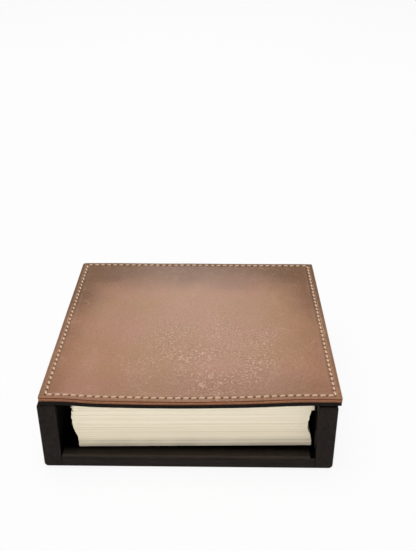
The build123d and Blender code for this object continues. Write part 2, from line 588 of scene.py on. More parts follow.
@dataclass(frozen=True)
class CutEdge(Finish):
    """The cut edge of the tan leather: russet lines round a paler fibrous core.

    Args:
        line: the lines near its top, and the tufts.
        core: the core.
        pale: the core's palest band.
        foot: the edge where it meets the black leather.
    """

    line: Colour = shade(98, 55, 30)
    core: Colour = shade(134, 90, 64)
    pale: Colour = shade(178, 124, 92)
    foot: Colour = shade(66, 40, 25)

    def dress(self, net: Net) -> dict[str, object]:
        """Bands the edge by its height within the leather.

        Args:
            net: the material's net.

        Returns:
            What feeds the shader, by input name.
        """
        tufts = net.effect(Effects.fibres, stretch=(1.0, 1.0, 3.0), scale=900.0)["height"]
        wobble = net.times(net.minus(net.noise(260.0), 0.5), 0.22)
        bands = net.ramp(net.plus(net.stored("ply_height"), wobble), [
            (0.0, self.foot), (0.12, self.core), (0.3, self.core), (0.52, self.pale),
            (0.64, self.core), (0.74, self.line), (0.92, self.line), (1.0, self.core)])
        colour = net.mix(net.spread(tufts, 0.42, 0.6, 0.0, 0.6), bands, self.line)
        return {"Base Color": colour, "Roughness": 0.72,
                "Normal": net.bump(tufts, 0.12 * MM, 0.7)}


@dataclass(frozen=True)
class BlackLeather(Finish):
    """Black leather with a short nap, and pale flecks where it is cut.

    Args:
        flecks: how strongly the flecks show.
        base: the dye.
        lifted: the dye where the nap catches the light.
        fleck: the flecks' colour.
    """

    flecks: float = 0.35
    base: Colour = shade(14, 12, 10)
    lifted: Colour = shade(35, 32, 28)
    fleck: Colour = shade(104, 106, 98)

    def dress(self, net: Net) -> dict[str, object]:
        """Lays the nap and the flecks.

        Args:
            net: the material's net.

        Returns:
            What feeds the shader, by input name.
        """
        nap = net.effect(Effects.fibres, stretch=(1.0, 0.5, 1.6), scale=1500.0)["height"]
        specks = net.effect(Effects.dust, scale=1100.0, share=0.2)["mask"]
        tone = net.ramp(nap, [(0.35, self.base), (0.68, self.lifted)])
        return {"Base Color": net.mix(net.times(specks, self.flecks), tone, self.fleck),
                "Roughness": net.spread(nap, 0.3, 0.7, 0.9, 0.7),
                "Normal": net.bump(nap, 0.09 * MM, 0.7)}


@dataclass(frozen=True)
class WaxedThread(Finish):
    """Cream waxed thread, laid from two strands.

    Args:
        cream: the strands.
        groove: the painted shade in the grooves between them.
    """

    cream: Colour = shade(238, 209, 180)
    groove: Colour = shade(196, 158, 126)

    def dress(self, net: Net) -> dict[str, object]:
        """Winds the strands along the stitch by its own UV map.

        Args:
            net: the material's net.

        Returns:
            What feeds the shader, by input name.
        """
        round_it, along, _ = net.parts(net.node("TexCoord").outputs["UV"])
        turns = net.plus(net.times(round_it, 2.0), net.times(along, 3.0))
        strands = net.spread(net.math("SINE", net.times(turns, math.tau)), -1.0, 0.5)
        fuzz = net.noise(3800.0, 3.0)
        tone = net.mix(net.spread(fuzz, 0.35, 0.7, 0.0, 0.3), self.cream, self.groove)
        height = net.plus(strands, net.times(fuzz, 0.3))
        # Painted shade in the grooves between the strands.
        return {"Base Color": net.mix(strands, self.groove, tone), "Roughness": 0.55,
                "Normal": net.bump(height, 0.06 * MM, 0.7)}


@dataclass(frozen=True)
class NotePaper(Finish):
    """Uncoated cream paper, with a faint tone of its own on each sheet and painted shade on the
    lower sheets.

    Args:
        cream: the palest sheets.
        warm: the middle ones.
        shaded_grey: the darkest ones, the painted shade low in the stack.
    """

    cream: Colour = shade(253, 245, 226)
    warm: Colour = shade(243, 231, 206)
    shaded_grey: Colour = shade(172, 162, 142)

    def dress(self, net: Net) -> dict[str, object]:
        """Tints each sheet and lays the paper's tooth.

        Args:
            net: the material's net.

        Returns:
            What feeds the shader, by input name.
        """
        stops = [(0.0, self.shaded_grey), (0.5, self.warm), (1.0, self.cream)]
        cloud = net.spread(net.noise(120.0, 3.0), 0.35, 0.7, 0.0, 0.25)
        colour = net.mix(cloud, net.ramp(net.stored("sheet_tone"), stops), self.warm)
        return {"Base Color": colour, "Roughness": 0.88,
                "Normal": net.bump(net.noise(2600.0), 0.02 * MM, 0.35)}


@dataclass(frozen=True)
class BaseFelt(Finish):
    """Black felt with short crossed fibres and painted shade between them.

    Args:
        deep: the painted shade in the felt between the fibres.
        loose: the fibres on top.
    """

    deep: Colour = shade(14, 14, 15)
    loose: Colour = shade(46, 45, 46)

    def dress(self, net: Net) -> dict[str, object]:
        """Crosses two layers of fibres.

        Args:
            net: the material's net.

        Returns:
            What feeds the shader, by input name.
        """
        one, two = (net.effect(Effects.fibres, stretch=stretch, scale=scale)["height"]
                    for stretch, scale in (((0.4, 1.4, 1.0), 1400.0), ((1.4, 0.4, 1.0), 1700.0)))
        height = net.larger(one, two)
        # Painted shade: the felt is darker below the fibres' tops.
        return {"Base Color": net.ramp(height, [(0.42, self.deep), (0.72, self.loose)]),
                "Roughness": 0.95, "Normal": net.bump(height, 0.15 * MM, 0.9)}


@dataclass(frozen=True)
class StudioFloor(Finish):
    """A plain pale floor that the camera sees as nearly white, with a faint shadow.

    Args:
        white: the share of plain white that the camera and reflections see.
    """

    white: float = 0.9

    def dress(self, net: Net) -> dict[str, object]:
        """Varies the paint a very little and adds the white.

        Args:
            net: the material's net.

        Returns:
            What feeds the shader, by input name.
        """
        black, white = (0, 0, 0, 1), (1, 1, 1, 1)
        rays = net.node("LightPath").outputs
        share = net.times(net.larger(rays["Is Camera Ray"], rays["Is Glossy Ray"]), self.white)
        painted = net.mix(net.spread(net.noise(6.0, 2.0), 0.3, 0.7), shade(243, 243, 243),
                          shade(246, 246, 246))
        return {"Base Color": net.mix(share, painted, black), "Roughness": 0.9,
                "Emission Color": net.mix(share, black, white), "Emission Strength": 1.0}


# ---- Modelling ----


def pick_only(piece: Piece) -> None:
    """Selects one piece alone and makes it the active one.

    Args:
        piece: the object.
    """
    bpy.ops.object.select_all(action="DESELECT")
    piece.select_set(True)
    bpy.context.view_layer.objects.active = piece


@contextmanager
def editing(piece: Piece, pick: str = "FACE") -> Iterator[bmesh.types.BMesh]:
    """Opens a piece in edit mode with nothing selected.

    Args:
        piece: the mesh object.
        pick: what is selected: VERT, EDGE or FACE.

    Yields:
        The piece's editable mesh.
    """
    pick_only(piece)
    bpy.ops.object.mode_set(mode="EDIT")
    bpy.ops.mesh.select_mode(type=pick)
    bpy.ops.mesh.select_all(action="DESELECT")
    yield bmesh.from_edit_mesh(piece.data)
    bpy.ops.object.mode_set(mode="OBJECT")


def pick_faces(piece: Piece, mesh: bmesh.types.BMesh, wanted: Callable[[Vector], bool]) -> None:
    """Picks faces by their middles.

    Args:
        piece: the mesh object, in edit mode.
        mesh: its editable mesh.
        wanted: says whether the face round a middle is picked.
    """
    for face in mesh.faces:
        face.select_set(wanted(face.calc_center_median()))
    bmesh.update_edit_mesh(piece.data)


def cut(place: Triple, normal: Triple) -> None:
    """Cuts the whole of the open mesh along a plane."""
    bpy.ops.mesh.select_all(action="SELECT")
    bpy.ops.mesh.bisect(plane_co=place, plane_no=normal)


def settle(piece: Piece, name: str) -> Piece:
    """Moves a piece's place and size into its mesh and names it.

    Args:
        piece: the object.
        name: its new name.

    Returns:
        The same object, at the origin.
    """
    bpy.context.view_layer.update()
    piece.data.transform(piece.matrix_world)
    piece.matrix_world = Matrix.Identity(4)
    piece.name = piece.data.name = name
    return piece


def add_grid(name: str, low: Vector, high: Vector, cell: float) -> Piece:
    """Adds a flat grid between two corners, at the height of the low one.

    Args:
        name: the piece's name.
        low: its lowest corner.
        high: its highest corner.
        cell: about the size of a cell.

    Returns:
        The new object.
    """
    span = high - low
    columns, rows = max(1, round(span.x / cell)), max(1, round(span.y / cell))
    middle = ((low.x + high.x) / 2, (low.y + high.y) / 2, low.z)
    bpy.ops.object.select_all(action="DESELECT")
    bpy.ops.mesh.primitive_grid_add(x_subdivisions=columns, y_subdivisions=rows, size=1,
                                    location=middle)
    bpy.context.object.scale = (span.x, span.y, 1)
    return settle(bpy.context.object, name)


def thicken(piece: Piece, thickness: float) -> None:
    """Gives a sheet a thickness below its own surface.

    Args:
        piece: the mesh object.
        thickness: its thickness.
    """
    pick_only(piece)
    modifier = piece.modifiers.new("thicken", "SOLIDIFY")
    modifier.thickness, modifier.offset = thickness, -1.0
    bpy.ops.object.modifier_apply(modifier=modifier.name)


def shade_smooth(piece: Piece, angle: float) -> None:
    """Shades a piece smooth where its faces meet at less than an angle in degrees."""
    pick_only(piece)
    bpy.ops.object.shade_smooth_by_angle(angle=math.radians(angle))


def soften(piece: Piece, width: float, steps: int = 2, sharp: float = 50.0) -> None:
    """Rounds a piece's sharp edges and shades the rest of it smooth.

    Args:
        piece: the mesh object.
        width: the rounding's width.
        steps: the number of its steps.
        sharp: the least angle of a sharp edge, in degrees.
    """
    with editing(piece, "EDGE") as mesh:
        for edge in mesh.edges:
            turn = edge.calc_face_angle(0.0)
            edge.select_set(len(edge.link_faces) == 2 and turn > math.radians(sharp))
        bmesh.update_edit_mesh(piece.data)
        bpy.ops.mesh.bevel(offset=width, segments=steps, profile=0.5, clamp_overlap=True)
    shade_smooth(piece, sharp)


def drawn_in(x: float, y: float, centre: tuple[float, float],
             radius: float) -> tuple[float, float]:
    """Draws a place in to the circle of a rounded corner.

    Args:
        x: the place across.
        y: the place along.
        centre: the circle's middle.
        radius: its radius.

    Returns:
        The nearest place on or inside the circle.
    """
    away = math.hypot(x - centre[0], y - centre[1])
    if away <= radius:
        return x, y
    pull = radius / away
    return centre[0] + (x - centre[0]) * pull, centre[1] + (y - centre[1]) * pull


def set_values(piece: Piece, name: str, values: Sequence[float]) -> None:
    """Stores one number for each vertex of a piece under a name."""
    piece.data.attributes.new(name, "FLOAT", "POINT").data.foreach_set("value", values)


def join(pieces: Sequence[Piece], name: str) -> Piece:
    """Joins pieces into one object.

    Args:
        pieces: the objects, each with its own mesh.
        name: the joined object's name.

    Returns:
        The joined object, at the origin.
    """
    bpy.ops.object.select_all(action="DESELECT")
    for piece in pieces:
        piece.select_set(True)
    bpy.context.view_layer.objects.active = pieces[0]
    bpy.ops.object.join()
    return settle(bpy.context.object, name)


def copy_mesh(piece: Piece) -> Piece:
    """Makes a copy of a piece.

    Args:
        piece: the mesh object.

    Returns:
        The copy, in the scene, with its own mesh.
    """
    twin = piece.copy()
    twin.data = piece.data.copy()
    bpy.context.scene.collection.objects.link(twin)
    return twin


def paint(piece: Piece, *finishes: bpy.types.Material) -> None:
    """Gives a piece its materials in place of those it had.

    Args:
        piece: the mesh object.
        finishes: its materials, in the order of its slots.
    """
    piece.data.materials.clear()
    for finish in finishes:
        piece.data.materials.append(finish)


@dataclass(frozen=True)
class Waves:
    """Random waves in a surface.

    Args:
        depth: how far they rise and fall.
        rates: how many there are to a metre along X, Y and Z.
        shift: where along its own Z their pattern is read.
    """

    depth: float
    rates: Triple
    shift: float = 0.0

    def at(self, x: float, y: float, z: float = 0.0) -> float:
        """Returns their height at a place."""
        across, back, up = self.rates
        return self.depth * noise.noise(Vector((x * across, y * back, z * up + self.shift)))


# ---- The lid ----


@dataclass
class LidForm:
    """The surface that the lid's leathers follow.

    It is flat at the rear. At the front it is flat over the side walls, and it sags between
    them, most steeply beside the left one.

    Args:
        left: the lid's left side.
        right: its right side.
        front: its front edge.
        rear: its rear edge.
        under: the height of its flat underside.
        inner_left: the left wall's inner face.
        drape: the front edge's rise at places measured from the left wall's inner face.
        corner: the corners' radius.
        worn_corner: the radius of the rear left corner.
    """

    left: float
    right: float
    front: float
    rear: float
    under: float
    inner_left: float
    drape: tuple[tuple[float, float], ...] = (
        (0.0, 0.0), (15.0 * MM, -0.9 * MM), (43.0 * MM, -1.25 * MM), (67.0 * MM, -0.7 * MM),
        (96.0 * MM, 0.6 * MM))
    corner: float = 0.5 * MM
    worn_corner: float = 1.5 * MM

    def grid(self, name: str, cell: float) -> Piece:
        """Returns a new flat grid of the lid's size."""
        return add_grid(name, Vector((self.left, self.front, 0)),
                        Vector((self.right, self.rear, 0)), cell)

    def _front_rise(self, run: float) -> float:
        """Reads the smooth curve through the front edge's rises.

        Args:
            run: the place, measured from the left wall's inner face.

        Returns:
            The rise there.
        """
        knots = self.drape
        if run <= knots[0][0]:
            return knots[0][1]
        if run >= knots[-1][0]:
            return knots[-1][1]
        place = max(index for index, knot in enumerate(knots) if knot[0] <= run)
        slopes = [0.0] + [(after[1] - before[1]) / (after[0] - before[0])
                          for before, after in zip(knots, knots[2:])] + [0.0]
        (start, low), (end, high) = knots[place], knots[place + 1]
        span = end - start
        share = (run - start) / span
        lead = share * (1 - share) ** 2 * span * slopes[place]
        tail = share * share * (share - 1) * span * slopes[place + 1]
        return low + (high - low) * smooth(share) + lead + tail

    def height(self, x: float, y: float) -> float:
        """Returns the height of the lid's underside at a place."""
        towards_front = (self.rear - y) / (self.rear - self.front)
        return self.under + towards_front * self._front_rise(x - self.inner_left)

    def rounded(self, x: float, y: float) -> tuple[float, float]:
        """Draws a place in to the lid's rounded corners.

        Args:
            x: the place across the lid.
            y: the place towards its back.

        Returns:
            The nearest place on or inside them.
        """
        marked = x < (self.left + self.right) / 2 and y > (self.front + self.rear) / 2
        radius = self.worn_corner if marked else self.corner
        centre = (min(max(x, self.left + radius), self.right - radius),
                  min(max(y, self.front + radius), self.rear - radius))
        return drawn_in(x, y, centre, radius)

    def shape(self, vertices: Sequence[bpy.types.MeshVertex],
              height: Callable[[float, float], float]) -> None:
        """Moves vertices inside the rounded corners and to their heights.

        Args:
            vertices: the vertices.
            height: gives the height at a place.
        """
        for vertex in vertices:
            x, y = self.rounded(vertex.co.x, vertex.co.y)
            vertex.co = (x, y, height(x, y))

    def from_rim(self, x: float, y: float) -> float:
        """Returns the distance from the nearest side of the lid."""
        return min(x - self.left, self.right - x, y - self.front, self.rear - y)


@dataclass
class StitchLine:
    """The rectangle of saddle stitches round the lid.

    Args:
        form: the lid's surface.
        from_front: the line's distance from the front edge.
        from_sides: its distance from both sides.
        from_rear: its distance from the rear edge.
        pitch: about the length of a stitch with its hole.
    """

    form: LidForm
    from_front: float = 2.1 * MM
    from_sides: float = 2.4 * MM
    from_rear: float = 1.8 * MM
    pitch: float = 2.94 * MM

    def sides(self) -> list[tuple[Vector, Vector, int]]:
        """Finds the line's four sides, from the front round by the right.

        Returns:
            The two ends of each side and its number of stitches.
        """
        left, right = self.form.left + self.from_sides, self.form.right - self.from_sides
        front, rear = self.form.front + self.from_front, self.form.rear - self.from_rear
        corners = [Vector((left, front, 0)), Vector((right, front, 0)),
                   Vector((right, rear, 0)), Vector((left, rear, 0))]
        return [(start, end, round((end - start).length / self.pitch))
                for start, end in zip(corners, corners[1:] + corners[:1])]

    def stitches(self) -> list[tuple[Vector, Vector]]:
        """Returns the two holes of each stitch, in order round the lid."""
        return [(start.lerp(end, step / count), start.lerp(end, (step + 1) / count))
                for start, end, count in self.sides() for step in range(count)]

    def offset(self, x: float, y: float) -> tuple[float, float]:
        """Measures a place against the line.

        Args:
            x: the place across the lid.
            y: the place towards its back.

        Returns:
            The distance to the line, and to the nearest hole on it.
        """
        place = Vector((x, y, 0))
        best = (1.0, 1.0)
        for start, end, count in self.sides():
            run = end - start
            along = min(1.0, max(0.0, (place - start).dot(run) / run.length_squared))
            away = (place - start - run * along).length
            if away < best[0]:
                hole = start + run * (round(along * count) / count)
                best = (away, (place - hole).length)
        return best


@dataclass(frozen=True)
class Swell:
    """A soft rise of the leather near the stitches, or a dent where its height is negative.

    Args:
        height: its greatest height.
        reach: the distance that it fades over.
        place: how far from the stitches it is highest.
    """

    height: float
    reach: float
    place: float = 0.0

    def at(self, away: float) -> float:
        """Returns its height at a distance from the stitches."""
        return self.height * math.exp(-(((away - self.place) / self.reach) ** 2))


class Side(Enum):
    """The two sides of the lid that show stitches, each with the seed of its slants."""

    TOP = 41
    UNDER = 43


@dataclass(frozen=True)
class SaddleStitch:
    """A stitch that rises from its holes.

    Args:
        thread: the thread's radius.
        share: its length as a share of the pitch.
        wide: its width at its middle, in diameters of the thread.
        high: its height there, in diameters of the thread.
        taper: the share of both that it loses towards its ends.
        dive: how far its ends go down into the holes.
        slant: its slant to the line, in degrees.
        slant_shake: how far a stitch's slant lies off that, in degrees.
        size_shake: the share by which a stitch is larger or smaller.
        proud: how far its middle stands out of the grain side, in radii of the thread.
        sunk: how far its middle lies in the lining, in radii of the thread.
    """

    thread: float = 0.37 * MM
    share: float = 0.84
    wide: float = 1.12
    high: float = 0.85
    taper: float = 0.38
    dive: float = 0.85 * MM
    slant: float = 12.0
    slant_shake: tuple[float, float] = (-4.0, 4.0)
    size_shake: tuple[float, float] = (-0.06, 0.05)
    proud: float = 0.62
    sunk: float = 0.05

    def build(self, pitch: float) -> Piece:
        """Models the stitch along X at the origin.

        Args:
            pitch: the length of a stitch with its hole.

        Returns:
            The stitch.
        """
        length = pitch * self.share
        bpy.ops.object.select_all(action="DESELECT")
        bpy.ops.mesh.primitive_cylinder_add(vertices=8, radius=self.thread, depth=length,
                                            end_fill_type="TRIFAN",
                                            rotation=(0, math.pi / 2, 0))
        stitch = settle(bpy.context.object, "stitch")
        with editing(stitch):
            for step in range(1, 6):
                cut((length * (step / 6 - 0.5), 0, 0), (1, 0, 0))
        for vertex in stitch.data.vertices:
            out = abs(2 * vertex.co.x / length)
            narrow = 1 - self.taper * out ** 3
            vertex.co.y *= narrow * self.wide
            vertex.co.z = vertex.co.z * narrow * self.high - self.dive * out ** 2.8
        return stitch


@dataclass
class LeatherLid:
    """The two-ply leather lid with its saddle stitches.

    Args:
        form: the surface that the plies follow.
        line: where the stitches run.
        stitch: the stitch that is laid along it.
        tan_ply: the tan leather's thickness.
        black_ply: the black leather's thickness.
        notch_half: half the width of the lining's cut-out for the hinge.
        notch_depth: how far that cut-out reaches from the rear.
        cell: about the size of the tan grid's cells.
        fine_line: how near to the stitches that grid is finer.
        fine_rim: how near to the lid's sides it is finer.
        channel: the groove under the stitches.
        ridge: the swell beside that groove.
        dimple: the dent at each hole.
        waves: the slow waves of the grain side.
        creases: its small ones.
        nap: the raggedness of the lining.
        hole: the size of a hole's spot of painted shade.
        hole_fade: how far out that spot has faded, in shares of its size.
        edge_tilt: the share of up in the normal below which a face is cut edge.
    """

    form: LidForm
    line: StitchLine
    stitch: SaddleStitch = SaddleStitch()
    tan_ply: float = 1.7 * MM
    black_ply: float = 1.6 * MM
    notch_half: float = 49.2 * MM
    notch_depth: float = 12.2 * MM
    cell: float = 1.0 * MM
    fine_line: float = 1.7 * MM
    fine_rim: float = 1.8 * MM
    channel: Swell = Swell(-0.14 * MM, 0.55 * MM)
    ridge: Swell = Swell(0.07 * MM, 0.5 * MM, 1.2 * MM)
    dimple: Swell = Swell(-0.45 * MM, 0.42 * MM)
    waves: Waves = Waves(0.16 * MM, (38, 38, 0), 0.7)
    creases: Waves = Waves(0.05 * MM, (190, 190, 0), 2.3)
    nap: Waves = Waves(0.06 * MM, (700, 700, 900))
    hole: float = 0.48 * MM
    hole_fade: float = 1.35
    edge_tilt: float = 0.55

    def build(self) -> list[Piece]:
        """Returns the plies and the stitches, newly built."""
        return [self._tan_leather(), self._lining(), self._stitching(Side.TOP),
                self._stitching(Side.UNDER)]

    def _between(self, x: float, y: float) -> float:
        """Returns the height at which the two plies meet."""
        return self.form.height(x, y) + self.black_ply

    def _top(self, x: float, y: float) -> float:
        """Finds the height of the tan leather's grain side, with its dents and waves.

        Args:
            x: the place across the lid.
            y: the place towards its back.

        Returns:
            The height there.
        """
        away, hole = self.line.offset(x, y)
        pressed = (self._between(x, y) + self.tan_ply + self.channel.at(away)
                   + self.ridge.at(away) + self.dimple.at(hole))
        return pressed + self.waves.at(x, y) + self.creases.at(x, y)

    def _tan_leather(self) -> Piece:
        """Models the tan ply: a fine grid that is pressed along the stitches.

        Returns:
            The tan ply.
        """
        form = self.form
        ply = form.grid("tan_leather", self.cell)
        with editing(ply) as mesh:
            pick_faces(ply, mesh, lambda middle: (
                self.line.offset(middle.x, middle.y)[0] < self.fine_line
                or form.from_rim(middle.x, middle.y) < self.fine_rim))
            bpy.ops.mesh.subdivide(number_cuts=2)
        form.shape(ply.data.vertices, self._top)
        count = len(ply.data.vertices)
        thicken(ply, self.tan_ply)
        form.shape(ply.data.vertices[count:], self._between)
        soften(ply, 0.28 * MM, 3)
        self._mark(ply)
        middle = ((form.left + form.right) / 2, (form.front + form.rear) / 2, form.under)
        # The leather's pattern divides by the height as well, but doesn't use the result.
        half = ((form.right - form.left) / 2, (form.rear - form.front) / 2, 1.0)
        grain = GrainLeather("tan_grain_leather", specular=0.32, centre=middle, half_size=half)
        paint(ply, grain.build(), CutEdge("russet_cut_edge", specular=0.3).build())
        for face in ply.data.polygons:
            face.material_index = int(abs(face.normal.z) < self.edge_tilt)
        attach(ply, Body.LID.value)
        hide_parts("lid_leather")
        return ply

    def _mark(self, ply: Piece) -> None:
        """Stores each vertex's height within the tan ply and its nearness to a stitch hole, for
        the painted hole shade.

        Args:
            ply: the tan ply.
        """
        heights, holes = [], []
        for vertex in ply.data.vertices:
            x, y, z = vertex.co
            heights.append((z - self._between(x, y)) / self.tan_ply)
            # Painted shade: a dark spot that fades out round each stitch hole.
            holes.append(smooth(self.hole_fade - self.line.offset(x, y)[1] / self.hole))
        set_values(ply, "ply_height", heights)
        set_values(ply, "stitch_hole", holes)

    def _lining(self) -> Piece:
        """Models the black ply, cut out at the rear for the hinge strip.

        Returns:
            The black ply.
        """
        form = self.form
        ply = form.grid("black_lining", 2 * self.cell)
        notch_front = form.rear - self.notch_depth
        with editing(ply) as mesh:
            cut((0, notch_front, 0), (0, 1, 0))
            cut((-self.notch_half, 0, 0), (1, 0, 0))
            cut((self.notch_half, 0, 0), (1, 0, 0))
            bpy.ops.mesh.select_all(action="DESELECT")
            pick_faces(ply, mesh, lambda middle: (
                middle.y > notch_front and abs(middle.x) < self.notch_half))
            bpy.ops.mesh.delete(type="FACE")
        form.shape(ply.data.vertices, self._between)
        thicken(ply, self.black_ply)
        for vertex in ply.data.vertices:
            x, y = form.rounded(vertex.co.x, vertex.co.y)
            nap = self.nap.at(x, y, vertex.co.z)
            vertex.co = (x + nap, y + nap, vertex.co.z)
        soften(ply, 0.2 * MM)
        paint(ply, BlackLeather("black_nap_leather", specular=0.08).build())
        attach(ply, Body.LID.value)
        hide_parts("lid_lining")
        return ply

    def _stitching(self, side: Side) -> Piece:
        """Lays a stitch between each pair of holes.

        Args:
            side: the side of the lid that shows the stitches.

        Returns:
            The joined stitches.
        """
        rng = random.Random(side.value)
        upper = side is Side.TOP
        kind = self.stitch
        flip = Matrix.Identity(4) if upper else Matrix.Rotation(math.pi, 4, "X")
        model = kind.build(self.line.pitch)
        laid = []
        for first, last in self.line.stitches():
            middle, run = first.lerp(last, 0.5), last - first
            slant = math.radians(kind.slant + rng.uniform(*kind.slant_shake))
            turn = math.atan2(run.y, run.x) + (slant if upper else -slant)
            level = (self._top(middle.x, middle.y) + kind.proud * kind.thread if upper
                     else self.form.height(middle.x, middle.y) - kind.sunk * kind.thread)
            rise = self.form.height(last.x, last.y) - self.form.height(first.x, first.y)
            tilt = math.atan2(rise, run.length)
            size = Matrix.Scale(1 + rng.uniform(*kind.size_shake), 4)
            stitch = copy_mesh(model)
            stitch.matrix_world = (Matrix.Translation((middle.x, middle.y, level))
                                   @ Matrix.Rotation(turn, 4, "Z")
                                   @ Matrix.Rotation(-tilt, 4, "Y") @ flip @ size)
            laid.append(settle(stitch, "stitch"))
        bpy.data.objects.remove(model)
        stitching = join(laid, f"saddle_stitch_{side.name.lower()}")
        shade_smooth(stitching, 60.0)
        paint(stitching, WaxedThread(f"cream_thread_{side.name.lower()}", specular=0.35).build())
        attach(stitching, Body.LID.value)
        return stitching


# ---- The hinge ----


@dataclass
class LeatherHinge:
    """The strip of black leather that runs from the lid, over the fold, down the case's back.

    Args:
        axis_y: the fold's place.
        axis_z: the fold's height.
        half_width: half the strip's width.
        lap: how far it reaches into the lid.
        thickness: the leather's thickness.
        form: the lid's surface, which its upper leg follows.
        leaf: how far it reaches down the back.
        bend: the fold's radius.
        corner: the radius of its lower corners.
        cell: about the size of its grid's cells.
        fine: how near to the fold that grid is finer.
        ripple: the small waves in its surface.
        soft: a length from the fold; not used.
    """

    axis_y: float
    axis_z: float
    half_width: float
    lap: float
    thickness: float
    form: LidForm
    leaf: float = 14.0 * MM
    bend: float = 0.9 * MM
    corner: float = 3.0 * MM
    cell: float = 1.5 * MM
    fine: float = 3.2 * MM
    ripple: Waves = Waves(0.03 * MM, (90, 300, 0), 4.1)
    soft: float = 1.0 * MM

    @property
    def straight(self) -> float:
        """Returns the length of the upper leg."""
        return self.lap + self.axis_y - self.form.rear - self.bend

    @property
    def arc(self) -> float:
        """Returns the length of the fold."""
        return self.bend * math.pi / 2

    def _path(self, along: float) -> Triple:
        """Follows the strip's middle line.

        Args:
            along: the length along it from the lap's front end.

        Returns:
            The line's y, z and slope there.
        """
        front = self.form.rear - self.lap
        if along <= self.straight:
            return front + along, self.axis_z, 0.0
        if along <= self.straight + self.arc:
            turn = (along - self.straight) / self.bend
            return (front + self.straight + self.bend * math.sin(turn),
                    self.axis_z - self.bend * (1 - math.cos(turn)), turn)
        down = along - self.straight - self.arc
        return self.axis_y, self.axis_z - self.bend - down, math.pi / 2

    def build(self) -> list[Piece]:
        """Builds the strip as one piece, folded over the hinge's axis.

        Returns:
            The strip.
        """
        length = self.straight + self.arc + self.leaf - self.bend
        strip = add_grid("hinge_strip", Vector((-self.half_width, 0, 0)),
                         Vector((self.half_width, length, 0)), self.cell)
        fold = self.straight + self.arc / 2
        with editing(strip) as mesh:
            pick_faces(strip, mesh, lambda middle: abs(middle.y - fold) < self.fine)
            bpy.ops.mesh.subdivide(number_cuts=3)
        inner = self.half_width - self.corner
        for vertex in strip.data.vertices:
            x, along, _ = vertex.co
            out = self.thickness / 2 + self.ripple.at(x, along)
            centre = (min(max(x, -inner), inner), min(along, length - self.corner))
            x, along = drawn_in(x, along, centre, self.corner)
            y, z, slope = self._path(along)
            sink = self.form.height(x, y) - self.form.under if slope == 0.0 else 0.0
            vertex.co = (x, y + math.sin(slope) * out, z + math.cos(slope) * out + sink)
        thicken(strip, self.thickness - 2 * self.ripple.depth)
        soften(strip, 0.2 * MM)
        paint(strip, BlackLeather("black_hinge_leather", specular=0.35, flecks=0.1,
                                  base=shade(22, 20, 19), lifted=shade(40, 37, 35)).build())
        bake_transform(strip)
        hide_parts("hinge_leaf", "hinge_lap_strip")
        return [strip]


# ---- The notes ----


